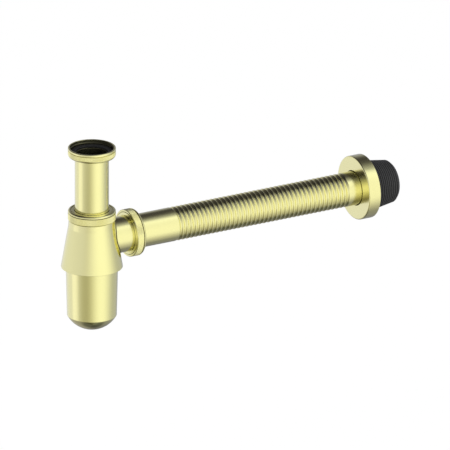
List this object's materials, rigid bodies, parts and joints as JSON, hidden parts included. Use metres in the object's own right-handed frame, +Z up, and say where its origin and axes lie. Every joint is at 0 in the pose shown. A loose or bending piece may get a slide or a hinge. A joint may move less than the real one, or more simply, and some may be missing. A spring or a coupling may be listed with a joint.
{
  "type": "bottle trap",
  "caption": "Bottle trap for a basin: an inlet tube dips into a screw-off cup, and a corrugated outlet pipe leads through a round flange and a rubber connector to the wall.",
  "frame": {"origin": "on the inlet's axis at the mouth of the inlet nut's thread, just under the nut's rim", "axes": "+Z up along the inlet tube, +X along the outlet pipe towards the wall"},
  "size_m": [0.351, 0.0604, 0.1797],
  "materials": {
    "brushed_gold": "fine brushed, pale gold",
    "black_rubber": "matt moulded rubber",
    "nylon": "natural nylon"
  },
  "bodies": {
    "inlet_nut": {"inlet_nut": "brushed_gold"},
    "inlet": {"inlet_tube": "brushed_gold", "inlet_washer": "black_rubber"},
    "trap": {"trap_body": "brushed_gold", "body_seal": "black_rubber", "outlet_seal": "black_rubber"},
    "body_ring": {"body_slip_ring": "nylon"},
    "body_nut": {"body_nut": "brushed_gold"},
    "cup_ring": {"cup_seal": "black_rubber"},
    "cup": {"cup": "brushed_gold"},
    "outlet_ring": {"outlet_slip_ring": "nylon"},
    "outlet_nut": {"outlet_nut": "brushed_gold"},
    "pipe": {"outlet_pipe": "brushed_gold", "wall_connector": "black_rubber"},
    "flange": {"wall_flange": "brushed_gold", "flange_ring": "black_rubber"}
  },
  "joints": [
    {"name": "trap_swivel", "type": "hinge", "parent": "inlet_nut", "child": "inlet", "pos_m": [0, 0, 0], "axis": [0, 0, 1], "continuous": true},
    {"name": "trap_height", "type": "slide", "parent": "inlet", "child": "trap", "axis": [0, 0, 1], "range_m": [-0.04, 0.01]},
    {"name": "body_ring_travel", "type": "slide", "parent": "trap", "child": "body_ring", "axis": [0, 0, 1], "range_m": [0, 0.00347]},
    {"name": "body_nut_turn", "type": "hinge", "parent": "body_ring", "child": "body_nut", "pos_m": [0, 0, -0.0659], "axis": [0, 0, 1], "range_deg": [0, 540]},
    {"name": "cup_ring_travel", "type": "slide", "parent": "trap", "child": "cup_ring", "axis": [0, 0, -1], "range_m": [0, 0.00462]},
    {"name": "cup_turn", "type": "hinge", "parent": "cup_ring", "child": "cup", "pos_m": [0, 0, -0.1145], "axis": [0, 0, -1], "range_deg": [0, 720]},
    {"name": "outlet_ring_travel", "type": "slide", "parent": "trap", "child": "outlet_ring", "axis": [1, 0, 0], "range_m": [0, 0.00347]},
    {"name": "outlet_nut_turn", "type": "hinge", "parent": "outlet_ring", "child": "outlet_nut", "pos_m": [0.0418, 0, -0.0917], "axis": [1, 0, 0], "range_deg": [0, 540]},
    {"name": "outlet_reach", "type": "slide", "parent": "trap", "child": "pipe", "axis": [1, 0, 0], "range_m": [-0.006, 0.005]},
    {"name": "flange_travel", "type": "slide", "parent": "pipe", "child": "flange", "axis": [1, 0, 0], "range_m": [-0.22, 0]}
  ],
  "couplings": [
    {"joint": "body_ring_travel", "follows": "body_nut_turn", "m_per_rad": 0.00036749},
    {"joint": "cup_ring_travel", "follows": "cup_turn", "m_per_rad": 0.00036749},
    {"joint": "outlet_ring_travel", "follows": "outlet_nut_turn", "m_per_rad": 0.00036749}
  ]
}
